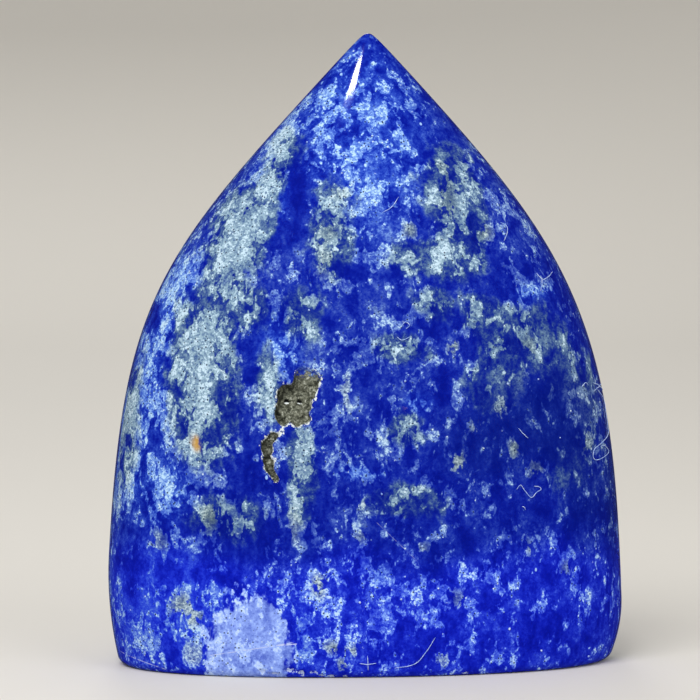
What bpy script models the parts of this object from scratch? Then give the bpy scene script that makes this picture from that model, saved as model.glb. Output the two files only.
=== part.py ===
# Polished lapis lazuli freeform: one stone with a pointed top, domed faces and a flat sawn base.
# Metres, +Z up. The broad face with the two natural pits looks towards -Y.
# The origin is on the base, under the middle of the stone's outline.

import bmesh
import bpy
import numpy as np
from mathutils import Matrix, Vector, noise

HEIGHT = 0.0750  # from the base to the tip
TIP_ROUNDING = 0.00075  # radius that the last polish leaves on the tip
BASE_EDGE = 0.0010  # radius of the eased edge round the base

# Each side of the stone falls from the tip as an ogive: it leaves the tip at a slope of width over drop,
# nears its full reach from the stone's axis, and turns from one to the other as sharply as its turn says.
# Over the lean's height above the base it draws in again, by the lean's depth.
SIDES = {
    "left": {"slope": 0.914, "reach": 0.0319, "turn": 3.75, "lean_height": 0.0130, "lean_depth": 0.0017},
    "right": {"slope": 0.914, "reach": 0.0315, "turn": 3.40, "lean_height": 0.0076, "lean_depth": 0.0018},
    "front": {"slope": 0.560, "reach": 0.0166, "turn": 2.9, "lean_height": 0.0060, "lean_depth": 0.0006},
    "back": {"slope": 0.520, "reach": 0.0150, "turn": 2.6, "lean_height": 0.0080, "lean_depth": 0.0010},
}
SECTION_CORNER = 2.2  # exponent of each level section: 2 is an ellipse, higher is squarer

# Hand grinding leaves broad, shallow swells: height, and how many there are round the stone and up it.
SWELLS = (
    (0.00016, 3, 1.5, 0.4),
    (0.00010, 5, 2.5, 2.1),
)

SEGMENTS = 90  # facets round the stone
RINGS = 47  # levels from the tip to the middle of the base
BASE_RINGS = 4  # how many of those lie in the flat base

# Natural pits in the front face, each hollowed by overlapping lumps.
# A lump is its place across from the tip and up the face, half its width and height, its lean in degrees,
# and its depth. A lump that leans by a positive angle has its top towards -X.
PITS = {
    "wide_pit": (
        (-0.0103, 0.0317, 0.0021, 0.0024, 0, 0.00090),
        (-0.0089, 0.0342, 0.0016, 0.0018, -18, 0.00065),
        (-0.0114, 0.0305, 0.0010, 0.0011, 20, 0.00105),
    ),
    "long_pit": (
        (-0.0127, 0.0279, 0.0006, 0.0013, -52, 0.00050),
        (-0.0134, 0.0266, 0.0007, 0.0013, 4, 0.00070),
        (-0.0132, 0.0250, 0.0007, 0.0014, 14, 0.00070),
        (-0.0127, 0.0236, 0.0005, 0.0012, 24, 0.00050),
    ),
}
CUTTER_STAND_OFF = 0.0012  # how far a cutter reaches out of the face, so that its rim is clean
CUTTER_SQUARENESS = 0.6  # 0 leaves a cutter round, 1 makes it a block
CUTTER_ROUGHNESS = 0.16  # share of its size by which a cutter's skin wanders
CUTTER_GRAIN = 600.0  # lumps of that wandering in a metre

LAZURITE_BLUE = (0.012, 0.030, 0.420, 1.0)


def clear_scene():
    for obj in list(bpy.data.objects):
        bpy.data.objects.remove(obj)


def new_collection(name):
    collection = bpy.data.collections.new(name)
    bpy.context.scene.collection.children.link(collection)
    return collection


def polished_stone():
    material = bpy.data.materials.new("polished_lapis")
    material.use_nodes = True
    shader = material.node_tree.nodes["Principled BSDF"]
    shader.inputs["Base Color"].default_value = LAZURITE_BLUE
    shader.inputs["Roughness"].default_value = 0.12
    shader.inputs["Metallic"].default_value = 0.0
    material.diffuse_color = LAZURITE_BLUE
    return material


def side_reach(side, drop):
    """Distance from the stone's axis to one side, at each drop below the tip."""
    shape = SIDES[side]
    height = HEIGHT - drop
    flank = shape["slope"] * np.sqrt(drop * (drop + 2 * TIP_ROUNDING))
    reach = flank / (1 + (flank / shape["reach"]) ** shape["turn"]) ** (1 / shape["turn"])
    lean = shape["lean_depth"] * np.clip(1 - height / shape["lean_height"], 0, 1) ** 2
    edge = BASE_EDGE * (1 - np.sqrt(1 - np.clip(1 - height / BASE_EDGE, 0, 1) ** 2))
    return reach - lean - edge


def axis_place():
    """Where the stone's axis stands, so that the middle of its outline is over the origin."""
    drops = np.linspace(0, HEIGHT, 2000)
    left, right, front, back = (side_reach(side, drops).max() for side in SIDES)
    return (left - right) / 2, (front - back) / 2


def swell(around, up):
    return sum(
        height * np.sin(count * around + phase) * np.sin(np.pi * levels * up + phase)
        for height, count, levels, phase in SWELLS
    ) * np.sin(np.pi * up)


def level_section(drop, around):
    """Points of the skin at a drop below the tip and an angle round the axis, 0 at +X and a quarter turn at +Y."""
    across, along = np.cos(around), np.sin(around)
    half_width = np.where(across >= 0, side_reach("right", drop), side_reach("left", drop))
    half_depth = np.where(along >= 0, side_reach("back", drop), side_reach("front", drop))
    bend = 2 / SECTION_CORNER
    proud = swell(around, drop / HEIGHT)
    axis_x, axis_y = axis_place()
    x = axis_x + (half_width + proud) * np.sign(across) * np.abs(across) ** bend
    y = axis_y + (half_depth + proud) * np.sign(along) * np.abs(along) ** bend
    return x, y


def front_skin(across, z):
    """The front face's place, from how far it is across from the axis and up from the base."""
    axis_x, axis_y = axis_place()
    drop = HEIGHT - z
    side = "right" if across >= 0 else "left"
    share = min(abs(across) / float(side_reach(side, drop)), 1.0)
    depth = float(side_reach("front", drop))
    y = axis_y - depth * (1 - share**SECTION_CORNER) ** (1 / SECTION_CORNER)
    return Vector((axis_x + across, y, z))


def front_outward(across, z):
    """The direction straight out of the front face."""
    step = HEIGHT / 500
    sideways = front_skin(across + step, z) - front_skin(across - step, z)
    upwards = front_skin(across, z + step) - front_skin(across, z - step)
    return sideways.cross(upwards).normalized()


def make_stone(material, collection):
    """A sphere's rings are pulled out to the stone's level sections, the last few to its flat base."""
    shape = bmesh.new()
    bmesh.ops.create_uvsphere(shape, u_segments=SEGMENTS, v_segments=RINGS, radius=1.0)
    points = np.array([vertex.co for vertex in shape.verts])
    ring = np.arccos(np.clip(points[:, 2], -1, 1)) / np.pi * RINGS
    around = np.arctan2(points[:, 1], points[:, 0])
    wall_rings = RINGS - BASE_RINGS
    wall = np.clip(ring / wall_rings, 0, 1)
    drop = HEIGHT * (1 - np.cos(np.pi * wall)) / 2
    inward = np.clip((RINGS - ring) / BASE_RINGS, 0, 1)
    x, y = level_section(drop, around)
    for vertex, *place in zip(shape.verts, x * inward, y * inward, HEIGHT - drop):
        vertex.co = place
    bmesh.ops.recalc_face_normals(shape, faces=shape.faces)
    mesh = bpy.data.meshes.new("stone")
    shape.to_mesh(mesh)
    shape.free()
    mesh.materials.append(material)
    mesh.shade_smooth()
    stone = bpy.data.objects.new("stone", mesh)
    collection.objects.link(stone)
    return stone


def make_lump(name, lump, collection):
    """A rough pebble, set into the face, that hollows one part of a pit."""
    across, z, half_width, half_height, lean, depth = lump
    skin = front_skin(across, z)
    outward = front_outward(across, z)
    half_depth = (depth + CUTTER_STAND_OFF) / 2
    shape = bmesh.new()
    bmesh.ops.create_icosphere(shape, subdivisions=3, radius=1.0)
    for vertex in shape.verts:
        squared = vertex.co / max(abs(value) for value in vertex.co) ** CUTTER_SQUARENESS
        place = Vector((half_width * squared.x, half_depth * squared.y, half_height * squared.z))
        wander = noise.noise((place + skin) * CUTTER_GRAIN)
        vertex.co = place * (1 + CUTTER_ROUGHNESS * wander)
    bmesh.ops.rotate(shape, verts=shape.verts, matrix=Matrix.Rotation(-np.radians(lean), 3, "Y"))
    bmesh.ops.rotate(shape, verts=shape.verts, matrix=outward.to_track_quat("-Y", "Z").to_matrix())
    bmesh.ops.translate(shape, verts=shape.verts, vec=skin + outward * (CUTTER_STAND_OFF - depth) / 2)
    mesh = bpy.data.meshes.new(name)
    shape.to_mesh(mesh)
    shape.free()
    cutter = bpy.data.objects.new(name, mesh)
    cutter.hide_render = True
    cutter.display_type = "WIRE"
    collection.objects.link(cutter)
    return cutter


def hollow_pits(stone, collection):
    for name, lumps in PITS.items():
        for number, lump in enumerate(lumps, 1):
            cutter = make_lump(f"{name}_cutter_{number}", lump, collection)
            cut = stone.modifiers.new(cutter.name, "BOOLEAN")
            cut.operation = "DIFFERENCE"
            cut.object = cutter


def main():
    clear_scene()
    parts = new_collection("lapis_lazuli_freeform")
    cutters = new_collection("cutters")
    stone = make_stone(polished_stone(), parts)
    hollow_pits(stone, cutters)


main()
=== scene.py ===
# Polished lapis lazuli freeform, dressed for a studio picture.
# Everything is in metres in the frame's own axes: +Z up, the face with the two pits towards -Y.

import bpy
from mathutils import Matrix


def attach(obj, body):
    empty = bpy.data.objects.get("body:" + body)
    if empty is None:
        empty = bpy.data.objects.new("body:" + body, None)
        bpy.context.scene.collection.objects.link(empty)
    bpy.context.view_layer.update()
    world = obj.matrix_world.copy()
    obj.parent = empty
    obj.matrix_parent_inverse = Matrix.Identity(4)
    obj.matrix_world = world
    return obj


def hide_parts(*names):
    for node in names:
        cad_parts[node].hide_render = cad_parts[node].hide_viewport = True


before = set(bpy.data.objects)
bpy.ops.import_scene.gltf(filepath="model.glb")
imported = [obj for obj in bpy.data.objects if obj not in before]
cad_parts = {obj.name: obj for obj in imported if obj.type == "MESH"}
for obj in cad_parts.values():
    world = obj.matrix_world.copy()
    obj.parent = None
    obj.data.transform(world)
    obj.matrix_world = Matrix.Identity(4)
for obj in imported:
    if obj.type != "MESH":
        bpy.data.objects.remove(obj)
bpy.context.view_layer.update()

import itertools
import math

import bpy
import numpy as np
from mathutils import Vector

mm = 0.001

# What a user would change about the stone's form.
stoneForm = {
    "height": 75.0 * mm,
    "tipRounding": 0.75 * mm,
    "baseEdge": 1.0 * mm,  # radius of the eased edge round the base
    "sectionCorner": 2.2,  # 2 makes each level section an ellipse, higher makes it squarer
    # slope of width over drop, full reach, how sharply one turns to the other, height and depth of the lean
    "sides": {
        "left": (0.914, 31.9 * mm, 3.75, 13.0 * mm, 1.7 * mm),
        "right": (0.914, 31.5 * mm, 3.40, 7.6 * mm, 1.8 * mm),
        "front": (0.560, 16.6 * mm, 2.9, 6.0 * mm, 0.6 * mm),
        "back": (0.520, 15.0 * mm, 2.6, 8.0 * mm, 1.0 * mm),
    },
    # height, count round the stone, count up it, phase
    "swells": ((0.16 * mm, 3, 1.5, 0.4), (0.10 * mm, 5, 2.5, 2.1)),
    "columns": 440,
    "rows": 222,
    "baseRows": 6,
    "pitAngle": math.radians(-107.5),  # where round the stone the pits lie
    "pitArc": math.radians(8.5),
    "pitHeight": 29.6 * mm,
    "pitSpan": 8.2 * mm,
}

# Each lump of a pit, in millimetres: across from the tip, up, half width, half height, lean in
# degrees, depth.
pits = {
    "wide": {
        "squareness": 3.4,
        "wander": 0.34,  # share of a lump's size by which its outline wanders
        "shade": 0.0,  # how dark the whole floor is
        "edge": 0.42,  # how strongly the pale rim, partly a painted highlight, shows on the side towards the light
        "glint": 0.36,  # how much more strongly on the other side, where the highlight is painted on the lit wall
        "rimReach": 0.10,  # share of a lump's size over which the rim fades
        "lumps": (
            (-10.3, 31.7, 2.1, 2.4, 0, 0.90),
            (-8.9, 34.2, 1.6, 1.8, -18, 0.60),
            (-11.4, 30.5, 1.0, 1.1, 20, 1.00),
        ),
    },
    "long": {
        "squareness": 2.0,
        "wander": 0.75,
        "shade": 0.35,
        "edge": 0.64,
        "glint": 0.12,
        "rimReach": 0.22,
        "lumps": (
            (-12.7, 27.9, 0.6, 1.3, -52, 0.50),
            (-13.4, 26.6, 0.7, 1.3, 4, 0.70),
            (-13.2, 25.0, 0.7, 1.4, 14, 0.70),
            (-12.7, 23.6, 0.5, 1.2, 24, 0.50),
        ),
    },
}
pitLooks = {
    "outlineGrain": 0.75 * mm,
    "floorGrains": ((0.9 * mm, 0.20 * mm), (0.35 * mm, 0.14 * mm)),  # size and height of the floor's lumps
    "holes": ((-11.2, 32.15, 0.40, 0.21), (-9.7, 32.1, 0.37, 0.20)),  # across, up, half width, half height
    "holeDepth": 0.35 * mm,
    "lipDrop": 1.2,  # how far below a hole's middle the painted highlight on its lip lies, as a share of the half height
    "lipStrength": 1.1,
    "fadeAbove": (33.6 * mm, 36.2 * mm),  # heights between which the floor's grey gives way
    "fadeShare": 0.8,
    # where these fade, from a lump's middle at 0 to its outline at 1
    "wallSpan": (0.78, 1.02),
    "floorSpan": (0.90, 1.02),
    "shadeSpan": (0.45, 0.85),
    "rimMiddle": 0.99,
    "rimGrain": 1.3 * mm,
    "chipWander": 0.7,
}
# Little shells knocked off the front of the base edge: across, up, half width, half height, depth.
baseChips = (
    (-14.1, 0.8, 0.5, 0.3, 0.18), (-12.6, 0.5, 0.8, 0.3, 0.22), (-10.6, 0.9, 0.9, 0.4, 0.22),
    (-9.5, 0.6, 0.5, 0.5, 0.24), (-8.2, 0.7, 0.6, 0.25, 0.16), (-7.2, 0.3, 0.4, 0.25, 0.14),
    (-6.0, 0.25, 0.7, 0.2, 0.12), (-4.4, 0.2, 0.4, 0.2, 0.10), (9.8, 0.3, 0.4, 0.2, 0.10),
)


# Eases from 0 to 1 while the value goes from low to high: three squares less two cubes.
def fadeStep(value, low, high):
    share = np.clip((value - low) / (high - low), 0, 1)
    return share * share * (3 - 2 * share)


# Soft random field from 0 to 1: random values on a cubic lattice, eased together between its points.
def cloud(points, grain, seed):
    scaled = points / grain
    cell = np.floor(scaled).astype(np.int64)
    ease = fadeStep(scaled - cell, 0, 1)
    total = np.zeros(len(points))
    for corner in itertools.product((0, 1), repeat=3):
        weight = np.prod(np.where(corner, ease, 1 - ease), axis=1)
        key = (cell + corner) @ np.array([73856093, 19349663, 83492791]) + seed * 2654435761
        key = (key ^ (key >> 13)) & 0xFFFFFFFF
        key = (key * 1540483477) & 0xFFFFFFFF
        key = key ^ (key >> 15)
        total += weight * (key & 0xFFFF) / 0xFFFF
    return total


# Reach of one side: slope times the root of the drop, bent over to the full reach, less lean and edge.
def sideReach(side, up):
    slope, full, turn, leanHeight, leanDepth = stoneForm["sides"][side]
    drop = np.clip(stoneForm["height"] - up, 0, None)
    flank = slope * np.sqrt(drop * (drop + 2 * stoneForm["tipRounding"]))
    reach = flank / (1 + (flank / full) ** turn) ** (1 / turn)
    lean = leanDepth * np.clip(1 - up / leanHeight, 0, 1) ** 2
    edge = stoneForm["baseEdge"]
    return reach - lean - edge * (1 - np.sqrt(1 - np.clip(1 - up / edge, 0, 1) ** 2))


# The tip's axis stands where the middle of the stone's outline is over the origin.
def axisPlace():
    ups = np.linspace(0, stoneForm["height"], 2000)
    left, right, front, back = (sideReach(side, ups).max() for side in stoneForm["sides"])
    return (left - right) / 2, (front - back) / 2


# Level superellipse at each height, whose two widths and two depths are the four sides' reaches.
def stoneSkin(up, around):
    across, along = np.cos(around), np.sin(around)
    halfWidth = np.where(across >= 0, sideReach("right", up), sideReach("left", up))
    halfDepth = np.where(along >= 0, sideReach("back", up), sideReach("front", up))
    risen = 1 - up / stoneForm["height"]
    proud = sum(
        height * np.sin(count * around + phase) * np.sin(np.pi * levels * risen + phase)
        for height, count, levels, phase in stoneForm["swells"]
    ) * np.sin(np.pi * risen)
    bend = 2 / stoneForm["sectionCorner"]
    axisX, axisY = axisPlace()
    x = axisX + (halfWidth + proud) * np.sign(across) * np.abs(across) ** bend
    y = axisY + (halfDepth + proud) * np.sign(along) * np.abs(along) ** bend
    return np.stack([x, y, up * np.ones_like(x)], axis=-1)


# Values from start to end, closer together where need is higher: the inverse of its running sum.
def spreadByNeed(start, end, count, need, closed):
    fine = np.linspace(start, end, 20001)
    running = np.concatenate([[0], np.cumsum((need(fine[1:]) + need(fine[:-1])) / 2)])
    wanted = np.linspace(0, running[-1], count, endpoint=closed)
    return np.interp(wanted, running, fine)


# Distance from a lump's middle as a share of its size: a leaning superellipse, 1 on its outline.
def lumpReach(across, up, lump, squareness):
    middleX, middleZ, halfWidth, halfHeight, lean, _ = lump
    turn = math.radians(lean)
    sideways = across / mm - middleX
    upwards = up / mm - middleZ
    turnedX = sideways * math.cos(turn) + upwards * math.sin(turn)
    turnedZ = upwards * math.cos(turn) - sideways * math.sin(turn)
    shares = np.abs(turnedX / halfWidth) ** squareness + np.abs(turnedZ / halfHeight) ** squareness
    return shares ** (1 / squareness)


# How much is left towards the outline: 1 at the start of the span, 0 at its end.
def leftOf(reach, span):
    return 1 - fadeStep(reach, *span)


# The pin holes in a pit's floor, later painted near black as shade, and below each a painted highlight on
# its lip.
def pinHoles(across, up):
    hole, lipGlint = np.zeros_like(across), np.zeros_like(across)
    for middleX, middleZ, halfWidth, halfHeight in pitLooks["holes"]:
        shape = (0, 0, halfWidth, halfHeight, 0, 0)
        sideways = across - middleX * mm
        reach = lumpReach(sideways, up - middleZ * mm, shape, 2)
        hole = np.maximum(hole, leftOf(reach, (0.6, 1.1)))
        under = lumpReach(sideways, up - (middleZ - pitLooks["lipDrop"] * halfHeight) * mm, shape, 2)
        lipGlint = np.maximum(lipGlint, pitLooks["lipStrength"] * leftOf(under, (0.4, 1.0)))
    return hole, lipGlint


# Depth of the pits and chips at each point, and how strongly each of their colours shows there, with the
# painted shadow and painted highlights.
def hollows(across, up, points):
    wander = cloud(points, pitLooks["outlineGrain"], 3) - 0.5
    depth, inside = np.zeros_like(across), np.zeros_like(across)
    nearest, towardsLight = np.full_like(across, 9.0), np.zeros_like(across)
    looks = {name: np.ones_like(across) for name in ("shade", "edge", "glint", "rimReach")}
    for pit in pits.values():
        for lump in pit["lumps"]:
            middleX, middleZ, halfWidth, halfHeight, _, lumpDepth = lump
            reach = lumpReach(across, up, lump, pit["squareness"]) + wander * pit["wander"]
            side = (up / mm - middleZ) / halfHeight - (across / mm - middleX) / halfWidth
            side = side / np.maximum(reach, 0.3)
            towardsLight = np.where(reach < nearest, side, towardsLight)
            looks = {name: np.where(reach < nearest, pit[name], values) for name, values in looks.items()}
            depth = np.maximum(depth, lumpDepth * mm * leftOf(reach, pitLooks["wallSpan"]))
            inside = np.maximum(inside, leftOf(reach, pitLooks["floorSpan"]))
            nearest = np.minimum(nearest, reach)
    relief = sum(height * (cloud(points, grain, 7) - 0.5) * 2 for grain, height in pitLooks["floorGrains"])
    # Pale rim round each pit, partly a painted highlight, stronger on the lower right where the wall faces
    # the light.
    rimGlint = leftOf(np.abs(nearest - pitLooks["rimMiddle"]) / looks["rimReach"], (0.2, 1.0))
    rimGlint = rimGlint * (looks["edge"] + looks["glint"] * fadeStep(-towardsLight, -0.1, 0.7))
    shadow = fadeStep(nearest, *pitLooks["shadeSpan"]) * fadeStep(towardsLight, -0.4, 0.6)
    shade = inside * np.maximum(looks["shade"], shadow)
    hole, lipGlint = pinHoles(across, up)
    depth = depth + relief * inside + pitLooks["holeDepth"] * hole
    inside = inside * (1 - pitLooks["fadeShare"] * fadeStep(up, *pitLooks["fadeAbove"]))
    chip = np.zeros_like(across)
    for middleX, middleZ, halfWidth, halfHeight, chipDepth in baseChips:
        reach = lumpReach(across, up, (middleX, middleZ, halfWidth, halfHeight, 0, 0), 2)
        within = leftOf(reach + wander * pitLooks["chipWander"], (0.5, 1.0))
        chip = np.maximum(chip, within)
        depth = np.maximum(depth, chipDepth * mm * within)
    rimGlint = rimGlint * (0.75 + 0.35 * fadeStep(cloud(points, pitLooks["rimGrain"], 9), 0.25, 0.65))
    rimGlint = np.maximum(rimGlint, lipGlint * (1 - hole))
    return depth, {"pitFloor": inside, "pitRimGlint": rimGlint, "pitShade": shade, "pitHole": hole, "chip": chip}


# Four-cornered faces of a grid whose columns close on themselves, seen from outside.
def gridFaces(rowCount, columnCount):
    row, column = np.meshgrid(np.arange(rowCount - 1), np.arange(columnCount), indexing="ij")
    after = (column + 1) % columnCount
    here, below = row * columnCount, (row + 1) * columnCount
    return np.stack([here + column, below + column, below + after, here + after], axis=-1).reshape(-1, 4)


# A smooth object of these points and faces.
def newObject(name, points, faces):
    mesh = bpy.data.meshes.new(name)
    mesh.from_pydata(points, [], faces)
    mesh.shade_smooth()
    made = bpy.data.objects.new(name, mesh)
    bpy.context.scene.collection.objects.link(made)
    print(name, "made:", len(points), "points,", len(faces), "faces")
    return made


# Unit normals of a closed grid, from the cross product of its two directions.
def outwardOf(skin):
    roundwards = np.roll(skin, -1, axis=1) - np.roll(skin, 1, axis=1)
    downwards = np.gradient(skin, axis=0)
    normal = np.cross(downwards, roundwards)
    size = np.linalg.norm(normal, axis=-1, keepdims=True)
    return normal / np.maximum(size, 1e-12)


# How close the grid's columns lie at each angle: coarse behind, fine where the pits are.
def columnNeed(around):
    fromPits = (around - stoneForm["pitAngle"]) / stoneForm["pitArc"]
    return 0.35 + 0.65 * fadeStep(-np.sin(around), -0.2, 0.2) + 1.9 * np.exp(-(fromPits**4))


# How close the grid's rows lie at each height: fine at the tip, at the pits and at the base edge.
def rowNeed(up):
    fromPits = (up - stoneForm["pitHeight"]) / stoneForm["pitSpan"]
    nearBase = np.exp(-up / stoneForm["baseEdge"])
    nearTip = np.exp((up - stoneForm["height"]) / stoneForm["baseEdge"])
    return 1 + 1.9 * np.exp(-(fromPits**6)) + 7 * nearBase + 4 * nearTip


# The skin's grid, sunk along its normals at the pits and chips, closed by the flat base and the tip.
def makeStone():
    form = stoneForm
    around = spreadByNeed(-math.pi, math.pi, form["columns"], columnNeed, False)
    up = spreadByNeed(form["height"], 0.0, form["rows"] - form["baseRows"], rowNeed, True)
    upGrid, aroundGrid = np.meshgrid(up[1:], around, indexing="ij")
    skin = stoneSkin(upGrid, aroundGrid)
    outward = outwardOf(skin).reshape(-1, 3)
    flat = skin.reshape(-1, 3)
    axisX, axisY = axisPlace()
    across, height = flat[:, 0] - axisX, flat[:, 2]
    facing = fadeStep(-outward[:, 1], 0.1, 0.4)
    depth, fields = hollows(across, height, flat)
    wall = flat - outward * (depth * facing)[:, None]
    middle = np.array([axisX, axisY, 0.0])
    shares = np.linspace(1, 0, form["baseRows"] + 1)[1:-1]
    base = [middle + (wall[-form["columns"]:] - middle) * share for share in shares]
    grid = np.concatenate([wall, *base])
    rowCount = len(grid) // form["columns"]
    column = np.arange(form["columns"])
    after = (column + 1) % form["columns"]
    last = (rowCount - 1) * form["columns"]
    tipFan = np.stack([np.full_like(column, len(grid)), column, after], axis=1)
    baseFan = np.stack([np.full_like(column, len(grid) + 1), last + after, last + column], axis=1)
    faces = gridFaces(rowCount, form["columns"]).tolist() + tipFan.tolist() + baseFan.tolist()
    points = np.concatenate([grid, [[axisX, axisY, form["height"]]], [middle]])
    stone = newObject("lapis_stone", points.tolist(), faces)
    fields = {name: values * facing for name, values in fields.items()}
    fields.update(markingFields(flat, outward, across, height))
    spare = np.zeros(len(points) - len(flat))
    for name, values in fields.items():
        layer = stone.data.attributes.new(name, "FLOAT", "POINT")
        layer.data.foreach_set("value", np.concatenate([values, spare]).astype(np.float32))
    return stone


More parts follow.
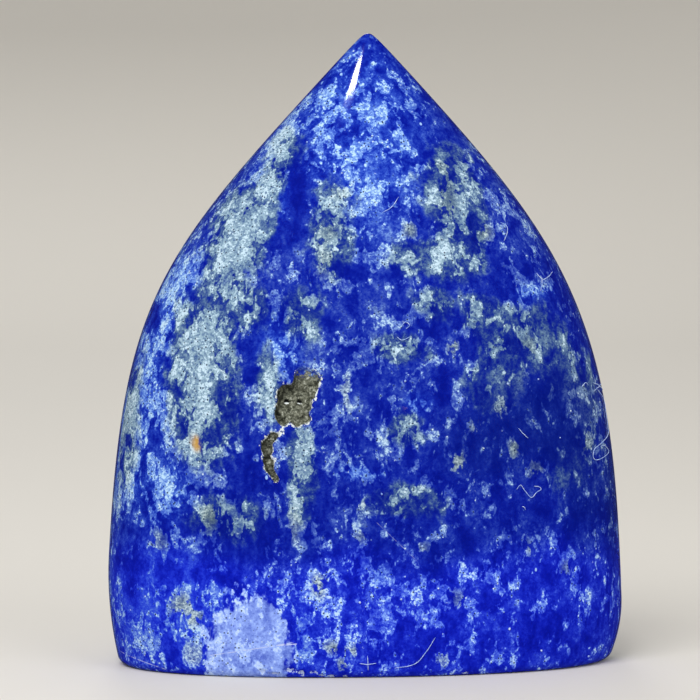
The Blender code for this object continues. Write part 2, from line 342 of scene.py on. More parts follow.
# Where the markings of the front face lie, under the strength that each group has from 0 to 1.
# In millimetres: across from the tip, up, half width, half height, and for a leaning one the degrees
# by which its upright way leans towards +X.
markings = {
    "calcite": {
        1.0: (
            # left shoulder and the patch left of the pits
            (-10.4, 63, 0.5, 0.5), (-14.6, 53.5, 1.3, 1.5, 12), (-16.3, 49.8, 1.3, 1.1),
            (-17.6, 47.9, 1.3, 1.2), (-1.8, 36.8, 1.1, 1), (-24.6, 40.5, 0.5, 0.6), (-25, 38.3, 0.7, 0.7),
            (-23.3, 35.3, 0.8, 1), (-20.8, 36, 1.4, 1.6), (-21.1, 23.9, 1.1, 1.5), (-14.6, 33, 1, 0.8),
            # upper middle
            (-2.8, 60.2, 0.9, 0.5), (5.1, 58.9, 0.5, 0.6), (-6, 51.5, 1.1, 0.9), (3.6, 51.8, 0.9, 0.7),
            # right shoulder
            (9.6, 59.2, 0.6, 0.6), (9.6, 53.7, 0.9, 1.1), (8.3, 52.7, 0.9, 0.7), (10.1, 52, 0.6, 0.7),
            (12.8, 51.4, 1, 0.9), (6.7, 47.6, 0.6, 0.9),
            # middle
            (-8.1, 43.1, 0.7, 0.5), (0.9, 41.2, 1, 0.6), (3.7, 42, 0.9, 0.6), (11, 42.2, 0.8, 1),
            (10.8, 40.8, 0.5, 0.6), (16.8, 42.3, 0.9, 0.9), (15, 34.1, 0.3, 0.3), (24, 32.5, 0.8, 0.5),
            (5.9, 28.3, 0.6, 0.5),
            # lower middle
            (-9.3, 17.5, 0.4, 0.5), (-7.4, 9.1, 0.5, 1.1), (-7.1, 10, 0.7, 0.7), (-9.4, 12.5, 0.4, 0.3),
            (0.1, 21.5, 0.35, 0.35), (-1.4, 18.8, 0.7, 0.5), (4.6, 23.3, 0.5, 0.4), (4.6, 15.3, 0.6, 0.5),
            (0.8, 14.3, 0.35, 0.25), (-1, 11.7, 1, 0.9), (1.8, 10.3, 0.9, 0.6), (7, 16.7, 0.4, 0.8),
            (-16.3, 2.8, 0.6, 0.8), (-14.2, 1.3, 0.8, 0.5),
            # lower right
            (14.6, 10, 0.6, 0.6), (13.2, 1.9, 1.1, 0.8), (17.2, 14.9, 0.5, 1), (13.6, 15, 0.3, 0.3),
        ),
        0.8: (
            # left shoulder
            (-11.2, 61, 1.1, 1.1), (-13.8, 57.5, 1, 0.7), (-16, 52.1, 1.6, 1.5, 20),
            (-15.1, 49.5, 0.9, 0.9), (-18.2, 45, 1.4, 1), (-21.1, 46, 0.9, 0.8), (-19.3, 41.3, 1, 1.8),
            (-22.5, 42.8, 0.9, 1),
            # a ring
            (-16.9, 42.6, 0.4, 1.1), (-14.3, 42.6, 0.4, 1.1), (-15.6, 43.8, 1.1, 0.4),
            (-15.6, 41.3, 1.1, 0.4),
            # the patch left of the pits
            (-20.2, 38.5, 1.6, 1.8), (-17.8, 38.2, 0.9, 1.1), (-21.9, 38.5, 0.9, 0.9),
            (-18.3, 37, 0.5, 0.6), (-21, 33.1, 1.4, 1.4), (-21.1, 31.3, 1.7, 1.1), (-19.7, 30.8, 1.1, 0.7),
            (-21.1, 29.3, 0.8, 1.1), (-19.3, 26.2, 1.1, 0.6), (-21.4, 25.8, 0.9, 0.6),
            (-14.4, 25.8, 0.5, 0.5), (-15.6, 47.2, 1.3, 1), (-19, 22.8, 0.9, 1.1), (-13.2, 34.6, 0.9, 1.2),
            (-29.4, 29.5, 0.7, 1.6), (-22.6, 26.6, 1, 1.4), (-5.2, 50.4, 1, 1), (-12.3, 9.2, 0.8, 0.7),
            (-9.2, 6.8, 0.7, 0.9), (-12, 26.4, 0.7, 1.2), (-5.6, 67.6, 0.7, 1.6, 38),
            (-8.8, 63.4, 0.7, 1.6, 38), (-1.8, 61.4, 1, 1), (-12.4, 57.6, 1, 1.2),
            (-22.2, 46.8, 0.9, 1.4, 25), (-12.2, 43.8, 0.8, 1), (5, 42.4, 0.9, 1.6), (-5.4, 26.4, 0.8, 1.2),
            (1.6, 27, 0.8, 1.2), (-2, 12.8, 0.9, 1), (-8.8, 3.6, 0.9, 1.6),
            # streaks near the left edge
            (-28.7, 30.5, 0.8, 1.4, 10), (-29.3, 27.6, 0.4, 1.6), (-30.2, 23.5, 0.3, 3.4, 4),
            (-28.9, 21, 0.5, 2.5, 8), (-30.3, 20.5, 0.4, 2.6, 4), (-29.6, 6.5, 0.5, 0.6),
            # above and below the pits
            (-10.9, 39.6, 0.4, 0.8, 30), (-9.8, 40.4, 0.7, 0.4), (-8.4, 39.9, 0.4, 0.6, -30),
            (-8.3, 43.7, 1.2, 0.3), (-8.8, 26.4, 0.9, 2.6), (-9.2, 24.6, 1.1, 1), (-10.6, 22.1, 0.7, 0.6),
            (-9.9, 20.7, 0.5, 0.5), (-10.3, 17.8, 0.7, 1.8), (-5.1, 25, 0.9, 0.7),
            # tip and upper middle
            (4.3, 66.2, 0.9, 0.5), (-1.3, 65.8, 1.1, 0.5), (1.3, 65.4, 0.6, 0.9, 15), (3.2, 62.4, 0.6, 0.4),
            (-3.4, 58.7, 0.9, 0.9), (-4.2, 56.4, 1.1, 0.9), (-5.3, 54.7, 1.4, 1.1), (-3.6, 53.5, 1.1, 0.7),
            (-6.6, 48.9, 0.9, 0.9), (-6.4, 47.4, 1, 1.6), (5.7, 55.2, 1.5, 0.5, 15),
            # right shoulder
            (7.7, 59.3, 0.7, 0.7), (8.3, 57, 1, 1.6), (11.4, 55.5, 0.9, 1.4, -20), (8.3, 54.9, 0.9, 0.9),
            (7.8, 49.2, 1.3, 1.6), (0.4, 48.5, 1, 0.8), (3.4, 48.1, 1, 1.1), (15.3, 47.2, 0.8, 0.5),
            (16.8, 45.7, 0.8, 0.7), (5.1, 44.6, 0.6, 0.6), (6.5, 43.1, 0.6, 0.6), (15, 42.8, 1.1, 0.7),
            (11.2, 43.1, 0.9, 0.6), (11.6, 41.8, 1.2, 0.8), (22.3, 42.8, 0.5, 0.6),
            # middle
            (-2.4, 38.2, 1.1, 1), (1.2, 37.9, 0.8, 0.7), (3.6, 38.2, 1, 1.1), (8.4, 38.4, 0.8, 0.9),
            (-4.1, 33.3, 0.5, 2), (6.5, 36.6, 0.7, 0.4), (11.1, 35.2, 1.1, 1), (4, 31.9, 1.1, 0.8),
            (1.5, 32.4, 0.6, 0.4), (-5.4, 30.4, 0.7, 1), (0.1, 28.1, 0.6, 0.9), (2.7, 29.3, 0.9, 0.9),
            (13.4, 38.5, 1.1, 0.7), (12.6, 37.4, 0.9, 0.4), (17.3, 38.5, 1, 1.2), (18.7, 37.1, 0.8, 0.8),
            (15.5, 34.5, 0.5, 1.4), (23.4, 36.6, 0.9, 0.6), (8.5, 31.9, 0.5, 1.6), (8, 29.6, 0.7, 0.5),
            (18.2, 23.9, 0.8, 1), (14.8, 23.5, 0.7, 0.7), (-1.5, 23.5, 0.8, 0.7), (5.1, 22, 0.5, 0.7),
            # lower left
            (-25.5, 15.7, 1, 1.2), (-21.3, 21.2, 0.7, 0.9), (-20, 18.6, 0.8, 1.6), (-17.9, 20.1, 0.8, 0.8),
            (-16.3, 18, 0.9, 1.4), (-15.7, 20.1, 0.4, 0.5), (-23.2, 10.3, 0.6, 0.6), (-23, 8.3, 1, 1.1),
            (-21.7, 6.8, 0.8, 0.9), (-26.6, 3.2, 1.1, 0.9), (-21.8, 2.7, 1.2, 1.4), (-19.1, 4.3, 0.9, 0.8),
            # lower middle
            (2.1, 21, 1.1, 0.7), (3.9, 21.8, 1.3, 0.5, -20), (5.1, 22.4, 1.1, 0.5, -20),
            (7.5, 21.4, 1, 0.6), (-8, 12, 0.6, 0.9), (-8.9, 9.7, 1, 1), (-6.5, 8.5, 1, 0.9),
            (0.5, 11.4, 0.7, 0.6), (3.7, 9.9, 0.6, 0.6), (4.7, 7.2, 1, 0.7), (5.8, 6.4, 0.5, 0.5),
            (-1, 5.9, 1, 0.7), (0.8, 6, 0.7, 0.7), (-6.3, 4.5, 1.1, 0.7), (-4, 4.5, 0.9, 0.9),
            (-4.8, 1.6, 0.6, 0.6),
            # lower right
            (12, 11.2, 1.4, 0.5), (13.6, 10.3, 0.5, 0.9, -20), (8.6, 9.1, 0.7, 0.9), (10.4, 8.3, 0.9, 0.9),
            (10.4, 3.9, 0.8, 0.9), (22.6, 13.6, 0.6, 0.5), (22, 12.3, 0.7, 0.7), (23, 10.3, 1, 1),
            (18.5, 8, 0.8, 0.8), (27.6, 10.5, 0.5, 0.6), (28.6, 10.5, 0.4, 0.7), (27.4, 7.4, 0.5, 0.9),
        ),
        0.55: (
            # left shoulder and left
            (-7.9, 66.9, 0.5, 1.2, 42), (-9.6, 64.8, 0.6, 1.2, 42), (-12.3, 56.4, 1.1, 1.3),
            (-17.4, 54.2, 0.7, 0.6), (-13.1, 51.2, 0.7, 0.7), (-20, 52.2, 0.4, 0.9, 35),
            (-20.8, 49, 0.8, 0.9), (-11.8, 48.9, 0.5, 0.6), (-9.6, 47.2, 0.9, 1.1), (-14.2, 45.4, 0.9, 0.8),
            (-24.2, 44.6, 0.7, 1.4, 25), (-27.1, 35.1, 0.8, 1.9), (-27.9, 32.2, 0.9, 1.8),
            (-27.8, 29.3, 0.9, 0.9), (-26.8, 38.5, 0.6, 0.9), (-28.4, 24.7, 0.4, 1.7),
            (-26.2, 24.7, 0.4, 1.6), (-25, 31.6, 1.3, 1.5), (-24.8, 28.7, 0.5, 1.7), (-25.1, 21.8, 1, 1.6),
            (-25.7, 19.2, 0.9, 0.5), (-11.7, 36.6, 1.3, 1.8), (-10.6, 43.1, 0.8, 0.8),
            (-13, 31.6, 0.7, 1.5), (-13.7, 29.3, 0.5, 0.7), (-16.7, 26.5, 0.7, 0.5), (-12.6, 19.7, 1, 1.7),
            (-9.8, 20.4, 0.7, 0.9), (-19.3, 14.5, 0.4, 0.7), (-29.2, 14, 0.4, 0.5), (-21.3, 9.1, 0.5, 0.5),
            (-19.7, 8.2, 0.9, 0.6), (-27.1, 6.2, 0.5, 0.9), (-27.5, 4.5, 1.4, 1.4), (-12.2, 14.4, 1, 1.6),
            (-19, 14.2, 0.9, 1.6),
            # tip and upper middle
            (-1.3, 73.1, 0.6, 0.8), (2.7, 70.3, 0.4, 1.1, -37), (4.3, 68.1, 0.4, 1.2, -37),
            (1, 68.5, 0.5, 1.1), (3.1, 61, 0.3, 0.7), (4.7, 61, 0.3, 0.7), (3.9, 61.8, 0.7, 0.3),
            (3.9, 60.2, 0.7, 0.3), (2.7, 57.5, 0.7, 0.9), (-0.7, 55.8, 1.1, 1.1), (0.4, 49.5, 0.9, 0.7),
            (3.5, 45.8, 0.7, 0.7), (-0.2, 45.4, 1.4, 0.5), (-3.9, 44.9, 0.6, 0.5), (-2.1, 48.9, 0.6, 0.6),
            (-6.4, 43.1, 0.7, 0.6),
            # right shoulder and right
            (10.4, 58.1, 0.8, 1.4), (12.6, 50.6, 1, 0.8), (6.9, 55.8, 0.9, 0.7), (15, 51.8, 0.7, 0.7),
            (14.4, 49.7, 0.7, 0.6), (12.4, 49.4, 0.5, 0.9, 20), (7.8, 50.8, 1.1, 1), (9.4, 49.9, 0.9, 1),
            (10.2, 47.8, 1.4, 1), (9.6, 46.9, 1, 0.7), (11.6, 47.2, 0.5, 0.7), (13.4, 56.2, 0.5, 0.9),
            (15, 44.7, 0.6, 0.6), (17.8, 44.9, 0.7, 0.6), (18.1, 48.5, 0.6, 0.9), (19.5, 48.9, 0.5, 0.9),
            (20.6, 45.7, 0.6, 0.9), (19.1, 43.9, 1.6, 0.5), (23.6, 41.2, 0.9, 1.1), (24.3, 39.7, 0.5, 0.9),
            (15.3, 40, 0.9, 0.8), (17.8, 39.6, 1.3, 0.8), (8.6, 40.3, 0.7, 0.7), (22.1, 38.5, 0.6, 0.9),
            (16.6, 54.1, 0.4, 1.6, -40), (17.8, 52.5, 0.4, 1.4, -35), (9, 37, 0.5, 0.9), (10, 36.2, 1, 0.7),
            (12.2, 33.7, 0.9, 0.7), (13.4, 33.9, 0.5, 0.9), (20.8, 36.2, 0.5, 0.9), (22.5, 37.9, 0.9, 0.8),
            (23.6, 35.6, 0.6, 0.5), (25.3, 32.4, 0.9, 0.5), (23, 31.6, 0.8, 1), (23.1, 29.8, 0.7, 1),
            (20.1, 32.1, 0.5, 0.5), (14, 31.4, 0.6, 1.4), (7.2, 33.3, 0.3, 0.5), (8.3, 33.9, 0.6, 0.7),
            (17.4, 29.4, 1, 0.8), (24.9, 26.6, 0.8, 1), (9, 25, 0.7, 1.1), (15.5, 26.4, 0.7, 0.9),
            # middle
            (-4.8, 38.3, 1, 1), (-0.4, 36.2, 0.6, 0.7), (5.5, 36.3, 0.9, 1.1), (-1.9, 29.3, 0.5, 1.4),
            (-3.5, 27.6, 0.7, 0.8), (11, 29.3, 0.7, 0.8), (2.1, 25.8, 0.6, 0.6), (-3, 23.9, 1.6, 0.5),
            (-1.9, 22.1, 0.5, 0.9), (-6, 21.5, 0.5, 0.6), (-2.7, 20.2, 0.8, 0.7), (-3.3, 17.8, 0.5, 0.9),
            (-2.8, 16.3, 0.6, 0.6), (-0.4, 16, 0.5, 0.9), (0.4, 21, 0.7, 0.6), (1.9, 19.3, 1, 0.9),
            (6.3, 22.8, 0.9, 0.4), (12, 21.6, 0.5, 1), (9, 19.7, 0.6, 0.8), (6, 16.6, 0.5, 0.8),
            (21.7, 19.7, 0.3, 0.6), (3.7, 14.2, 0.6, 0.5), (-9.5, 15.5, 0.9, 0.9), (-10.3, 12, 0.7, 0.9),
            (-7.5, 11.1, 0.8, 0.9), (-5.4, 9.1, 0.8, 0.8), (-6, 3.6, 1, 0.7), (-3.6, 3.4, 0.9, 0.6),
            (-4.8, 6.2, 0.9, 0.9), (0.8, 1.6, 0.7, 0.7),
            # lower right
            (10.4, 12.3, 0.9, 0.8), (12.8, 12.6, 1, 1), (11.4, 6.6, 0.7, 0.6), (6.9, 2.2, 0.9, 0.7),
            (14.6, 15.8, 0.9, 0.4), (20.4, 15.2, 0.7, 1.1), (20.1, 13.7, 0.6, 0.6), (21.1, 12.2, 0.6, 0.6),
            (24, 8.5, 0.6, 0.9), (25.3, 15.2, 0.6, 0.8, -35), (20.7, 7, 0.6, 0.6), (28.4, 6.8, 0.3, 0.9),
            (27, 12.8, 0.5, 0.6), (28.6, 14.5, 0.4, 0.7), (15.9, 4.5, 0.8, 0.7), (15.6, 10.6, 0.7, 0.7),
        ),
        0.35: (
            (-5.5, 63, 1.6, 3.2), (14.6, 54.7, 0.7, 0.9), (19.7, 44.9, 1.4, 0.9), (10.2, 44.9, 0.8, 1.1),
            (9.8, 39.7, 1.1, 0.6), (8.6, 27.6, 1.1, 0.5), (18.5, 28.5, 0.7, 0.8), (26.6, 29.3, 1.1, 0.9),
            (26.9, 26.4, 0.8, 1), (19.7, 24.3, 0.5, 0.7), (14.6, 22.4, 0.9, 0.6), (27.6, 17.2, 0.7, 1.4),
            (-5.4, 23, 0.5, 0.9), (-5.1, 20, 0.5, 0.6), (-7, 18.3, 0.5, 0.7), (3.7, 17.1, 1, 0.6),
            (5.7, 15.5, 0.6, 0.5), (-7.1, 15, 1.8, 1.8), (0.8, 13.2, 0.3, 0.5), (6.6, 10.5, 0.9, 1.8),
            (-0.3, 8.2, 2.2, 0.8), (8.6, 3.6, 0.6, 0.7), (19.7, 5.9, 0.7, 0.5), (22.3, 5.1, 0.6, 0.6),
            (22.7, 2.8, 0.7, 0.7), (18.5, 3.4, 0.9, 0.6), (17.8, 12, 0.9, 0.9),
        ),
    },
    # clean dark blue islands, free of calcite
    "deep": {
        0.9: (
            (1, 70.2, 0.6, 0.8), (-5.6, 69.3, 0.7, 1.5, 35), (-9.2, 56.6, 1.3, 2.6, 10),
            (-10.6, 51.2, 1.9, 1.8), (-1.9, 63.9, 0.7, 0.7), (1.5, 63.5, 0.9, 0.7),
            (6, 62.2, 1.3, 2.3, -30), (3.3, 68.5, 0.8, 0.8), (0.4, 58.1, 1.6, 0.9), (1.5, 55.8, 0.9, 0.7),
            (-3, 55.2, 0.7, 0.6), (5.5, 53.6, 1.8, 0.9), (0.4, 52.4, 1.6, 1.1), (3.9, 49.9, 2, 0.8),
            (-4.2, 50.1, 0.9, 0.7), (-13, 52.6, 0.6, 0.7), (11.2, 52, 0.6, 1.6), (16.6, 52, 0.8, 1.5),
            (16.2, 50.1, 0.9, 0.9), (14.6, 48.1, 1.1, 1.3), (14.6, 56.4, 0.8, 1.1, -30),
            (17.8, 46.6, 0.8, 1.1), (13.3, 45.2, 1.5, 2.4), (12.6, 39.8, 1.1, 1), (8, 45.1, 1.2, 1.1),
            (7.5, 41.2, 1.6, 1.7), (-1.4, 43.5, 2.5, 1.2), (-6.2, 41.4, 1.5, 1), (-3, 47, 1.5, 0.9),
            (1.2, 46.9, 1.3, 0.7), (5.1, 48.3, 0.7, 0.9), (-0.7, 33.3, 2.1, 2.7), (6.9, 32.4, 0.9, 2.4),
            (15.2, 38.5, 0.6, 0.9), (13.4, 36.2, 1.1, 0.7), (-5.9, 32.7, 0.8, 1.5), (2.7, 39.9, 0.7, 0.6),
            (-15.1, 37.9, 1.3, 1.6), (-14.9, 35.1, 0.9, 0.9), (-17.9, 31.6, 1.3, 3.1, 8),
            (-15.1, 25.8, 0.9, 2.6), (-16.9, 24.3, 2.2, 1.2), (-19.3, 28.5, 0.7, 1), (-16.5, 22, 2.8, 1.2),
            (-25, 35.4, 0.7, 1.5), (-23.3, 33.4, 0.7, 0.8), (-28.9, 33.6, 0.4, 1.5),
            (-25.7, 41.6, 0.9, 1.2), (-22.8, 28.9, 0.6, 0.9), (-25.9, 27, 0.6, 1.1),
            (-28.9, 26.8, 0.4, 1.1), (-27.3, 24.1, 0.5, 1.5), (-8.7, 37.8, 1, 1), (-13.5, 41.9, 0.8, 1.3),
            (-13.6, 40.3, 1.1, 0.8), (-11.2, 28.1, 0.7, 0.6), (-15.4, 42.7, 0.4, 0.4),
            (-28.2, 12, 2.5, 2.6), (17.8, 19.7, 3.4, 1.4), (-22.3, 18.1, 1.2, 1.4), (-1.8, 43.8, 1.6, 1.4),
            (-5.4, 57.6, 1.2, 1.4), (-11.4, 1.8, 0.9, 1.4), (19.6, 40.4, 1.4, 1.6),
        ),
        0.65: (
            (11.6, 31.2, 1.5, 2.1), (14.6, 29, 0.8, 0.9), (5.7, 26.4, 1.1, 0.9), (20.1, 42.6, 0.8, 1),
            (19.9, 39.7, 0.9, 1.1), (16.6, 32.2, 1.6, 2.2), (19.7, 27.2, 3.2, 1.3), (-8.3, 21.8, 0.9, 1),
            (-0.9, 17.2, 0.8, 1), (3.6, 18.9, 0.9, 1.2), (5.7, 18.9, 1.3, 1.3), (1.5, 23.5, 0.9, 1.3),
            (9.8, 15.6, 2.2, 1.5), (8.6, 6.2, 1.3, 1.6), (12, 9.3, 0.9, 1.2), (-3.6, 7.7, 1.3, 0.8),
            (-2.4, 2.6, 0.9, 1), (4.5, 3.4, 1.5, 1.6), (2.1, 4.5, 1, 1.8), (17.6, 10.4, 1.5, 1.6),
            (25.4, 4, 1.8, 1.5), (24.3, 17.6, 1.6, 1.3), (-28.9, 6.2, 0.9, 2), (-15.7, 14, 2.8, 2.3),
            (-23.1, 13, 1.8, 1.6), (-17.9, 11.3, 1.4, 1), (-24.2, 3.1, 0.9, 1.4),
            (-8.4, 63.1, 0.7, 2.4, 15), (22, 24.5, 1.6, 1.4), (12.2, 24.8, 1.4, 1.6),
            (-1.2, 70.7, 0.9, 1.1), (12.8, 44, 1, 1), (-15.6, 19.4, 0.8, 1), (-8.8, 19.4, 0.8, 1),
            (8.6, 61.4, 1.2, 1.4), (-15.9, 29.8, 0.8, 1.2), (-7.6, 18.6, 1, 1.2), (-5.2, 16, 1, 1),
            (23, 2.2, 1.6, 1.2),
        ),
        0.35: (
            (17.5, 38.5, 6.5, 3.6), (18.5, 35, 6, 3), (8, 60, 2.6, 2.4), (10.5, 46.5, 3, 4), (20, 7, 6, 5),
            (22, 42, 2, 3), (5, 35.5, 4, 2.4), (13, 34.5, 4, 3), (1.6, 36.5, 3, 1.6),
            (-7.4, 21.5, 2.4, 2.4), (1.5, 20.6, 5, 2.4), (19.5, 40.5, 1.8, 2), (7, 61, 2, 3),
            (5, 57.5, 2, 2), (14, 23, 9, 1.6), (10.5, 12.6, 2, 1.2), (-28.4, 16.4, 1.8, 1.6),
            (-12.8, 14.6, 1.9, 2.4), (-7.6, 4.4, 0.8, 2.4), (-1, 14.4, 1, 0.8), (1.6, 50.8, 1.4, 1.4),
            (-7, 42.6, 5, 1.6), (-19.2, 42.4, 1.4, 1.6), (-20.5, 29.8, 2.6, 1), (-13.6, 29.6, 1.2, 1.2),
            (-1.6, 30.4, 1.2, 1.2), (-8.8, 15, 1.2, 5), (8.6, 61.2, 1.6, 1.2),
        ),
    },
    # broad stretches with more calcite all through
    "haze": {
        1.0: (
            (-27.2, 33.5, 2.4, 8, 8), (-20, 24, 2.6, 4), (-12.6, 33.5, 1.5, 5), (-17.6, 9.6, 2.6, 1.1),
            (-24.3, 43.5, 1.6, 4.5, 25), (-29, 27.5, 1.4, 5), (-20.6, 32.5, 2.4, 6.5),
            (16.4, 53, 1.6, 4.5, -35), (-25.8, 30, 1.6, 3), (-12.4, 26.2, 1.6, 2.2),
            (-10.8, 62, 1.2, 5, 38), (-16.6, 49, 2, 3, 20), (-19.5, 9, 2.4, 1.6), (-23, 5.5, 2, 3),
        ),
        0.6: (
            (-2.4, 60, 3.4, 7), (0.6, 53.5, 3.4, 5), (-16.5, 52, 3, 5, 22), (3, 10, 3.6, 2.8),
            (-26.5, 5.5, 5, 4.6), (-22, 36.5, 3, 6), (-14, 21, 5, 3), (-5.2, 69, 0.8, 4, 42),
            (-5, 63.5, 1.4, 3.5, 30), (0, 68, 2.2, 4.5), (-25, 13.5, 4, 3), (-25.5, 22, 2.4, 4),
            (19.8, 14, 2, 3), (-7.4, 7.4, 2.4, 2.4), (1.8, 11, 3, 2.6), (1.6, 5.4, 2.6, 1.8),
        ),
        0.35: (
            (-1.5, 32.5, 6, 8), (-22, 12.5, 8, 3), (-7, 13, 4, 4), (3, 38, 5, 3), (-15.8, 43.5, 3, 4),
            (-24, 24, 6, 8), (14, 29.5, 6, 1.8), (-11.5, 12, 3, 4), (-1, 52.5, 3, 2.5), (-9, 40.5, 3, 2.6),
            (16.5, 48, 3.5, 4), (-27, 4, 3, 3), (-8, 23, 3, 5), (25.8, 29, 2, 4),
        ),
    },
    # where they are sky blue
    "sky": {
        0.9: (
            (-1.5, 63, 7, 11), (-27, 34, 3.4, 14, 8), (-12, 38.5, 2.4, 3.4), (-23, 44, 2.4, 5, 25),
            (-1, 11.5, 1.6, 1.4), (-25, 21, 3, 4), (-12.5, 55.5, 2.4, 5, 20), (12, 34.2, 1.8, 1.4),
            (18.5, 44.2, 2.6, 1), (4.2, 31.9, 1.6, 1.2), (-3, 23.9, 2.6, 0.8),
        ),
    },
    # where the blue is lighter and more intense
    "electric": {0.9: ((-25, 8.5, 6.5, 6.5),), 0.7: ((-10, 5, 1.8, 4),)},
    # where the pale parts are grey instead
    "stony": {
        1.0: ((-20.6, 34, 3.6, 9.5), (9.4, 55.2, 3.2, 5.6, -12), (-15.8, 51, 3, 6, 24)),
        0.7: (
            (-10.6, 60, 1.8, 3.6, 30), (8.8, 48.5, 3.6, 2.6), (16, 39.5, 5, 3.6), (-9.4, 24, 1.8, 6),
            (-5.4, 51.5, 2.6, 5.6), (2, 38.2, 3.4, 1.6), (-28.8, 30, 1.4, 8, 6), (22.6, 30, 4, 8),
            (12.8, 33.5, 3, 3), (-17.5, 18.5, 4.5, 2.6), (3, 20.5, 4.5, 1.8), (-15.6, 43, 2.6, 2.6),
            (-9.4, 42, 2.4, 3), (-13, 34, 1.6, 4), (6, 43, 2.4, 2), (11.6, 42, 2, 2), (3.4, 48.6, 2.4, 2),
            (2.6, 28.8, 2, 2),
        ),
    },
    "olive": {
        0.8: (
            (-23, 8.3, 1.1, 1.2), (-21.7, 6.8, 0.8, 0.9), (3.6, 51.8, 0.9, 0.7), (12.8, 51.4, 0.9, 0.8),
            (8.4, 38.4, 0.7, 0.9), (9, 25, 0.7, 1.1), (15.5, 26.4, 0.7, 0.9), (-5.9, 3.6, 1.1, 0.7),
            (-3.6, 3.4, 0.9, 0.6), (-20, 18.6, 0.7, 1.4), (-7.5, 10.8, 0.8, 1.1), (-4.8, 1.6, 0.6, 0.6),
        ),
        0.5: (
            (7.7, 59.3, 0.8, 0.8), (8.3, 56.8, 1, 1.5), (8.3, 54.4, 1, 1.2), (-6, 51.5, 1.1, 0.9),
            (-4.2, 56.4, 1.1, 0.9), (-6.5, 48.2, 1, 1.8), (-4.1, 33.3, 0.5, 1.9), (17.3, 38.2, 0.9, 1.1),
            (14, 31.4, 0.6, 1.4), (11, 29.3, 0.7, 0.8), (-21.8, 2.7, 1.2, 1.3), (-25.5, 15.7, 0.9, 1.1),
            (-10.3, 17.8, 0.7, 1.8), (8.6, 9.1, 0.7, 0.9), (6.9, 2.2, 0.9, 0.7), (22, 12.3, 0.7, 0.7),
            (24.9, 26.6, 0.8, 1), (-2.8, 16.3, 0.6, 0.6), (-2.7, 20.2, 0.8, 0.7), (-16.3, 2.8, 0.5, 0.7),
            (4.6, 15.3, 0.6, 0.5), (17.2, 14.9, 0.4, 0.9), (18.2, 23.9, 0.8, 1),
        ),
    },
    # painted reflection: a pale lilac veil low on the left of the front face
    "frost": {1.0: ((-15.5, 1.6, 4.2, 7.3), (-18.6, 3, 1.2, 3), (-13.9, 5.6, 2.2, 3))},
    "stain": {0.9: ((-21.5, 27.3, 0.5, 0.8),), 0.6: ((2.6, 30.9, 0.2, 0.2),)},
    # painted shade: a darker, duller blue towards the right of the front face
    "paintedShade": {
        1.0: ((20, 29.5, 6.5, 4.8), (28.6, 24, 1, 10)),
        0.7: ((12, 27, 5, 4), (25, 21, 3, 4)),
    },
}
outlineWander = 0.8  # of a marking's outline, millimetres

# Painted light: lightness added by height alone, lighter towards the tip and the base, as pairs of
# millimetres up and lightness.
paintedHeightLight = (
    (0, 0.06), (8, 0.02), (17, -0.06), (26, -0.03), (38, 0.02), (52, 0.06), (66, 0.10), (75, 0.05),
)


# Soft union of flat-topped spots: one less the product of what each spot leaves uncovered.
def markingField(across, up, groups):
    uncovered = np.ones_like(across)
    for strength, marks in groups.items():
        for middleX, middleZ, halfWidth, halfHeight, *lean in marks:
            turn = math.radians(sum(lean))
            sideways = across / mm - middleX
            upwards = up / mm - middleZ
            turnedX = sideways * math.cos(turn) - upwards * math.sin(turn)
            turnedZ = upwards * math.cos(turn) + sideways * math.sin(turn)
            reach = (turnedX / halfWidth) ** 2 + (turnedZ / halfHeight) ** 2
            uncovered *= 1 - strength * np.exp(-0.6 * reach**1.7)
    return 1 - uncovered


# How strongly each marking shows at each point: given one by one on the front, soft clouds elsewhere.
def markingFields(points, outward, across, up):
    front = fadeStep(-outward[:, 1], 0.0, 0.25)
    stretched = points * np.array([1, 1, 0.6])
    wanderX, wanderZ = ((cloud(points, 1.2 * mm, seed) - 0.5) * outlineWander * mm for seed in (31, 32))
    fields = {}
    for number, (name, groups) in enumerate(markings.items()):
        grain, low, high = behindClouds[name]
        behind = fadeStep(cloud(stretched, grain * mm, 40 + number), low, high)
        fields[name] = markingField(across + wanderX, up + wanderZ, groups) * front + behind * (1 - front)
    # painted light: a brighter blue over the lowest 11 to 17 millimetres, as if lit from below
    fields["bounceLightBand"] = 1 - fadeStep(up / mm + (cloud(points, 3 * mm, 33) - 0.5) * 4, 11.0, 17.0)
    heights, lightness = zip(*paintedHeightLight)
    fields["trend"] = np.interp(up / mm, heights, lightness)
    return fields


# Grain in millimetres and the two levels between which a cloud turns into a marking, behind and on
# the sides.
behindClouds = {
    "calcite": (3.0, 0.50, 0.95),
    "haze": (10.0, 0.35, 1.00),
    "sky": (7.0, 0.45, 0.70),
    "stony": (9.0, 0.50, 0.80),
    "olive": (4.0, 0.78, 0.92),
    "frost": (12.0, 0.85, 0.95),
    "stain": (2.6, 0.94, 1.06),
    "electric": (9.0, 0.70, 0.95),
    "paintedShade": (14.0, 0.70, 0.95),
    "deep": (4.0, 0.60, 0.90),
}


# A material with a Principled shader, its node tree and that shader.
def newMaterial(name):
    material = bpy.data.materials.new(name)
    material.use_nodes = True
    return material, material.node_tree, material.node_tree.nodes["Principled BSDF"]


# Puts a number, a colour or another node's output on a socket.
def feed(tree, source, socket):
    if isinstance(source, bpy.types.NodeSocket):
        tree.links.new(source, socket)
    else:
        socket.default_value = source


# A new node with its settings, and its named or numbered sockets fed.
def addNode(tree, kind, sockets, **settings):
    node = tree.nodes.new("ShaderNode" + kind)
    for name, value in settings.items():
        setattr(node, name, value)
    for name, source in sockets.items():
        feed(tree, source, node.inputs[name])
    return node


def maths(tree, operation, first, second=0.0, third=0.0):
    return addNode(tree, "Math", {0: first, 1: second, 2: third}, operation=operation).outputs[0]


# first + second * amount
def addPart(tree, first, second, amount):
    return maths(tree, "MULTIPLY_ADD", second, amount, first)


